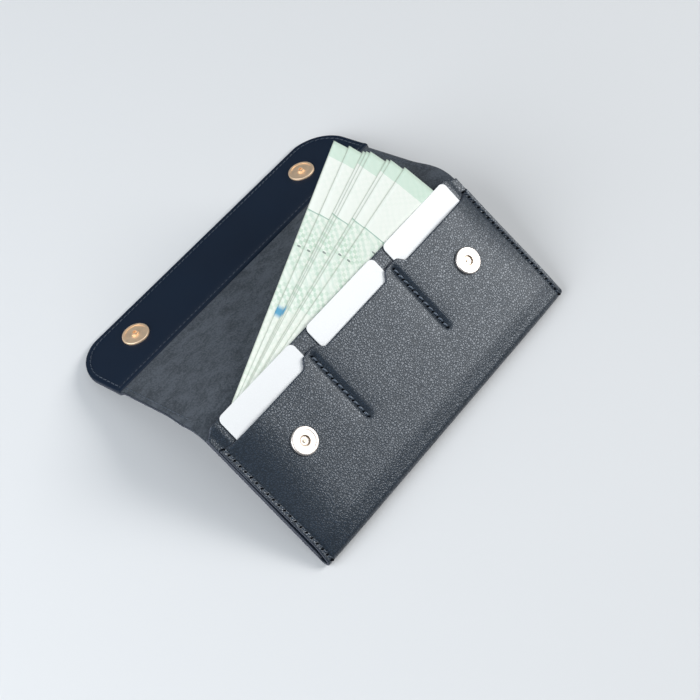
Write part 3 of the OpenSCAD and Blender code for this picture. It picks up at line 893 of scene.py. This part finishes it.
def bend_at_crease(piece):
    """Works out where a piece's bend over the crease would start and end, which nothing uses, and bakes the
    piece's transform into its mesh.
    """
    start, end = (tuple(on_back(0, s, 0)) for s in (-CREASE_REACH, CREASE_REACH))
    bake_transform(piece)


def bend_at_fold(piece):
    """Works out where a piece's bend at the flap's fold would start and end, which nothing uses, and bakes the
    piece's transform into its mesh.
    """
    start, end = (tuple(on_flap(0, s, 0)) for s in (FOLD_S - FOLD_REACH, FOLD_S + FOLD_REACH))
    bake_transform(piece)


class WALLET_OT_pouch_leather(bpy.types.Operator):
    """Outer leather of the pouch, from its mouth round its foot to the crest"""

    bl_idname = "wallet.pouch_leather"
    bl_label = "Pouch leather"

    def execute(self, context):
        leather = shell("Pouch_leather", pouch_outline(), LEATHER_T - 0.05, joint="last")
        finish_mesh(leather, 0.35)
        dress(leather, "pebbled", "cut edge")
        bend_at_crease(leather)
        stand_in(leather, "pebbled_leather", "front_pocket_panel", "bottom_fold", "back_panel")
        return {"FINISHED"}


class WALLET_OT_divider(bpy.types.Operator):
    """Divider between the notes and the cards, sewn into the sides of the pouch"""

    bl_idname = "wallet.divider"
    bl_label = "Divider"

    def execute(self, context):
        x = columns()
        edge = HALF - np.abs(x)
        level = divider_level(x)
        inside = x * (1 - 0.15 / HALF)
        welt_t, corner_drop, corner_w = 1.2, 3.8, 7.0  # mm
        thick = 0.95 + welt_t * (1 - ease((edge - 3) / 5))
        rows, under = [], []
        for y in np.concatenate([np.linspace(6, 60, 20), np.linspace(62, DIVIDER_H, 14)]):
            height = y - corner_drop * ease((corner_w - edge) / corner_w) * ease((y - 70) / 15)
            rows.append(on_pouch(inside, height, level))
            under.append(on_pouch(inside, height, level - thick))
        divider = shell("Divider_leather", np.array(rows), bottom=np.array(under))
        finish_mesh(divider, 0.25)
        dress(divider, "pebbled", "cut edge")
        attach(divider, "pouch")
        stand_in(divider, "pebbled_leather", "divider_panel", "left_side_welt", "right_side_welt")
        return {"FINISHED"}


class WALLET_OT_flap_leather(bpy.types.Operator):
    """Outer leather of the crest and the flap"""

    bl_idname = "wallet.flap_leather"
    bl_label = "Flap leather"

    def execute(self, context):
        leather = shell("Flap_leather", flap_grid(SPLIT_S, LEATHER_T), LEATHER_T, joint="first")
        finish_mesh(leather, 0.35)
        dress(leather, "pebbled", "cut edge")
        bend_at_fold(leather)
        stand_in(leather, "pebbled_leather", "crest_panel", "flap_panel")
        return {"FINISHED"}


class WALLET_OT_lining(bpy.types.Operator):
    """Suede lining of the pouch, the crest and the flap"""

    bl_idname = "wallet.lining"
    bl_label = "Lining"

    def execute(self, context):
        thick = LINING_N - LEATHER_T - 0.02
        x = np.linspace(-HALF + 0.4, HALF - 0.4, int(HALF))
        steps = np.concatenate([np.linspace(5 - POUCH_H, -9, 24), np.linspace(-8, SPLIT_S, 16)])
        rows = [on_back(x, np.full_like(x, s), np.full_like(x, LINING_N)) for s in steps]
        lower = shell("Pouch_lining", np.array(rows), thick, joint="last")
        finish_mesh(lower, 0.2)
        bend_at_crease(lower)
        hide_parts("pouch_lining", "crest_lining")
        upper = shell("Flap_lining", flap_grid(SPLIT_S, LINING_N, 0.4, FACING_S + 2), thick, joint="first")
        finish_mesh(upper, 0.2)
        bend_at_fold(upper)
        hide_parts("flap_lining")
        for piece in (lower, upper):
            dress(piece, "suede", "suede")
        return {"FINISHED"}


class WALLET_OT_facing(bpy.types.Operator):
    """Smooth facing along the flap's tip, with its edge folded under"""

    bl_idname = "wallet.facing"
    bl_label = "Flap facing"

    def execute(self, context):
        rows, width = flap_rows(FACING_S)
        fold = FACING_S + np.array([0, 0.1, 0.3, 0.6, 1.0, 1.5, 2.1, 2.8])
        keep = rows > fold[-1] + 0.6
        rows = np.concatenate([fold, rows[keep]])
        width = np.concatenate([np.full(len(fold), HALF), width[keep]])
        u = np.linspace(-1, 1, 127)
        x = (width[:, None] - 0.25) * u[None, :]
        s = np.minimum(np.repeat(rows[:, None], len(u), 1), FLAP_TIP - 0.25)
        # The folded edge is round over 1 mm, then the facing drops to a single thickness.
        roll = np.clip(s - FACING_S, 0, 1)
        rise = np.sqrt(np.clip(1 - (1 - roll) ** 2, 0, 1)) * (FACING_N + 0.45 - LINING_N)
        level = LINING_N + 0.05 + rise - 0.5 * ease((s - FACING_S - 1.2) / 2.4)
        under = np.where(s < FACING_S + 2.2, LINING_N + 0.01, LEATHER_T + 0.02)
        facing = shell("Flap_facing", on_flap(x, s, level), bottom=on_flap(x, s, under))
        finish_mesh(facing, 0.2)
        dress(facing, "smooth", "smooth")
        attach(facing, "flap")
        stand_in(facing, "smooth_leather", "flap_facing")
        return {"FINISHED"}


class WALLET_OT_stitches(bpy.types.Operator):
    """Every seam's thread, and near-black patches of painted shade in the awl holes between its stitches"""

    bl_idname = "wallet.stitches"
    bl_label = "Stitches"

    def execute(self, context):
        w = HALF - sizes().seam_inset
        d = sizes().thread_d
        pitch = sizes().pitch

        def on_front(x, low, high, over):
            """Path up the pouch's front at x, at a height over it."""
            y = np.linspace(low, high, 60)
            x = np.full_like(y, x)
            return line_on(on_pouch, np.stack([x, y, front_level(x, y) + over], 1))

        # Each seam's thread and lines (x, low, high), then its stitches' length in mm, thickness
        # in threads and slant in radians.
        for seam, finish, lines, length, wide, slant, nodes in (
            ("Pocket_seam", "pocket thread", [(side * SEAM_X, SEAM_LOW + 0.8, SEAM_HIGH) for side in (-1, 1)],
             3.0, 1.3, 0.2, ("left_pocket_stitches", "right_pocket_stitches")),
            ("Side_seam", "side thread", [(side * w, 3.0, mouth_height() - 0.5) for side in (-1, 1)],
             2.7, 1.0, 0.45, ("left_side_stitches", "right_side_stitches")),
        ):
            paths = [on_front(x, low, high, 0.3) for x, low, high in lines]
            threads = sew(f"{seam}_threads", paths, finish, pitch, length, d * wide, slant)
            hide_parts(*nodes)
            # Near-black patches in the awl holes between the stitches: painted shade.
            paths = [on_front(x - 0.35, low - pitch / 2, high + pitch / 2, 0.1) for x, low, high in lines]
            holes = sew(f"{seam}_awl_holes", paths, "awl hole", pitch, 1.5, 1.1, 0.9)
            for piece in (threads, holes):
                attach(piece, "pouch")

        # The flap's edge seam: up both sides of the lining, then round the facing's tip.
        r = sizes().tip_r - sizes().seam_inset
        arc_s = FLAP_TIP - sizes().tip_r
        high = FACING_N + 0.1
        low_w = w - sizes().waist
        turns = np.linspace(0, math.pi / 2, 16)[1:]
        paths = []
        for side in (-1, 1):
            rows = np.linspace(SPLIT_S + 1, FACING_S - 1.5, 30)
            paths.append(line_on(on_flap, [(side * low_w, v, LINING_N + 0.1) for v in rows]))
        ring = [(-w, v, high) for v in np.linspace(FACING_S + 2, arc_s, 12)]
        ring += [(-(w - r) - r * math.cos(a), arc_s + r * math.sin(a), high) for a in turns]
        ring += [(v, arc_s + r, high) for v in np.linspace(-(w - r), w - r, 60)[1:]]
        ring += [((w - r) + r * math.sin(a), arc_s + r * math.cos(a), high) for a in turns]
        ring += [(w, v, high) for v in np.linspace(arc_s, FACING_S + 2, 12)[1:]]
        paths.append(line_on(on_flap, ring))
        fine = (sizes().flap_pitch, 2.2, d * 0.6, 0.12)  # pitch, stitch length and thread in mm, slant
        edge = sew("Flap_edge_thread", paths, "flap thread", *fine)
        bend_at_fold(edge)
        stand_in(edge, "thread", "flap_edge_stitches")

        course = [(v, FACING_S + 2.4, FACING_N + 0.15) for v in np.linspace(-w + 3, w - 3, 60)]
        inner = sew("Facing_thread", [line_on(on_flap, course)], "flap thread", *fine)
        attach(inner, "flap")
        stand_in(inner, "thread", "facing_stitches")
        return {"FINISHED"}


class WALLET_OT_snaps(bpy.types.Operator):
    """Plated finish of the snaps' caps and of the plates behind them"""

    bl_idname = "wallet.snaps"
    bl_label = "Snaps"

    def execute(self, context):
        for side in ("left", "right"):
            for node, finish in (
                (f"{side}_snap_socket", "pale gold"),
                (f"{side}_snap_stud", "rose gold"),
                (f"{side}_socket_plate", "steel"),
                (f"{side}_stud_plate", "steel"),
            ):
                frame["nodes"][node].material_slots[0].material = finish_of(finish)
        return {"FINISHED"}


class WALLET_OT_cards(bpy.types.Operator):
    """Three blank cards; the outer two lean into the pinched sides of the pouch"""

    bl_idname = "wallet.cards"
    bl_label = "Cards"

    def execute(self, context):
        for side, name in ((-1, "left"), (0, "middle"), (1, "right")):
            node = f"{name}_card"
            x0, x1 = span(node, FOOT, ALONG)
            y0, y1 = span(node, FOOT, UP)
            n0, n1 = span(node, FOOT, OUT)
            r = 3.2  # corner radius, mm
            ring = []
            left, right, foot, top = x0 + r, x1 - r, y0 + r, y1 - r
            for cx, cy, start in ((right, top, 0), (left, top, 90), (left, foot, 180), (right, foot, 270)):
                for a in np.radians(np.linspace(start, start + 90, 11)):
                    ring.append((cx + r * math.cos(a), cy + r * math.sin(a)))
            ring = np.array(ring)
            drop = card_drop(ring[:, 0]) if side else np.zeros(len(ring))
            low = on_pouch(ring[:, 0], ring[:, 1], n0 - drop)
            high = on_pouch(ring[:, 0], ring[:, 1], n1 - drop)
            count = len(ring)
            walls = [(i, (i + 1) % count, (i + 1) % count + count, i + count) for i in range(count)]
            faces = [tuple(range(count))[::-1], tuple(range(count, 2 * count))]
            mesh = bpy.data.meshes.new(name)
            mesh.from_pydata(np.concatenate([low, high]).tolist(), [], faces + walls)
            card = new_object(f"{name.capitalize()}_blank_card", mesh)
            finish_mesh(card, 0.12, 2, "ANGLE")
            dress(card, "card")
            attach(card, node)
            stand_in(card, "card_plastic", node)
        return {"FINISHED"}


class WALLET_OT_notes(bpy.types.Operator):
    """Banknotes, fanned from their inner end"""

    bl_idname = "wallet.notes"
    bl_label = "Banknotes"

    def execute(self, context):
        names = sorted(n for n in frame["nodes"] if n.startswith("banknote_"))
        paper_t = 0.11  # mm
        for i, node in enumerate(names):
            mesh = frame["nodes"][node].data
            co = np.array([v.co for v in mesh.vertices]) - FOOT
            flat = np.stack([co @ ALONG, co @ UP], 1) / MM
            top_left = flat[flat[:, 0].argmin()]
            low, top_right = flat[flat[:, 1].argmin()], flat[flat[:, 1].argmax()]
            width = float(np.linalg.norm(top_right - top_left))
            tall = float(np.linalg.norm(low - top_left))
            aa, bb = np.meshgrid(np.linspace(0, width, 61), np.linspace(0, tall, 23))
            length, breadth = (top_right - top_left) / width, (top_left - low) / tall
            top_left = top_left + length * sizes().note_slip + breadth * sizes().note_rise
            x, y = (top_left[k] + aa * length[k] - bb * breadth[k] for k in (0, 1))
            # Levels follow the distance from the fan's point, so they hold as the notes turn.
            reach = np.hypot(x - FAN[0], y - FAN[1])
            # The notes lie close together at that point and stand apart, slightly wavy, further out.
            spread = 0.16 + 0.26 * ease((reach - 25) / 90)
            swell = 0.2 * (1 + np.sin(reach / 23.0 + i * 0.7)) * ease((reach - 60) / 60)
            n = LINING_N + 0.15 + paper_t + i * spread + swell * ease(bb / 20)
            note = shell(f"Banknote_{i + 1}", on_pouch(x, y, n)[:, ::-1], paper_t)
            along, across = (np.tile(part[:, ::-1].ravel(), 2) for part in (aa, bb))
            loops = np.empty(len(note.data.loops), np.int32)
            note.data.loops.foreach_get("vertex_index", loops)
            shift = 1.5 * math.sin(i * 2.1)  # no two notes are printed in quite the same place
            printed = np.stack([along[loops] + shift, across[loops]], 1)
            note.data.uv_layers.new(name="print").uv.foreach_set("vector", printed.astype(np.float32).ravel())
            patch = note.data.attributes.new("patch", "FLOAT", "POINT")
            marked = (np.abs(along - 51.5) < 2.8) & (across < 4.0) & (i in (1, 2))
            patch.data.foreach_set("value", marked.astype(np.float32))
            dress(note, "paper", "paper")
            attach(note, node)
            stand_in(note, "note_paper", node)
        return {"FINISHED"}


class WALLET_PT_panel(bpy.types.Panel):
    """Pieces and sizes of the wallet"""

    bl_label = "Wallet"
    bl_idname = "WALLET_PT_panel"
    bl_space_type = "VIEW_3D"
    bl_region_type = "UI"
    bl_category = "Wallet"

    def draw(self, context):
        for operator in OPERATORS:
            self.layout.operator(operator.bl_idname)
        scene = context.scene
        for kind, group in ((WalletSizes, scene.wallet_sizes), (WalletColours, scene.wallet_colours)):
            box = self.layout.box()
            for name in kind.__annotations__:
                box.prop(group, name)


OPERATORS = (
    WALLET_OT_stage,
    WALLET_OT_pouch_leather,
    WALLET_OT_divider,
    WALLET_OT_flap_leather,
    WALLET_OT_lining,
    WALLET_OT_facing,
    WALLET_OT_stitches,
    WALLET_OT_snaps,
    WALLET_OT_cards,
    WALLET_OT_notes,
)
CLASSES = (WalletSizes, WalletColours, *OPERATORS, WALLET_PT_panel)


def register():
    for kind in CLASSES:
        bpy.utils.register_class(kind)
    bpy.types.Scene.wallet_sizes = PointerProperty(type=WalletSizes)
    bpy.types.Scene.wallet_colours = PointerProperty(type=WalletColours)


def unregister():
    del bpy.types.Scene.wallet_colours
    del bpy.types.Scene.wallet_sizes
    for kind in reversed(CLASSES):
        bpy.utils.unregister_class(kind)


def main():
    register()
    for operator in OPERATORS:
        area, name = operator.bl_idname.split(".")
        getattr(getattr(bpy.ops, area), name)()


if __name__ == "__main__":
    main()
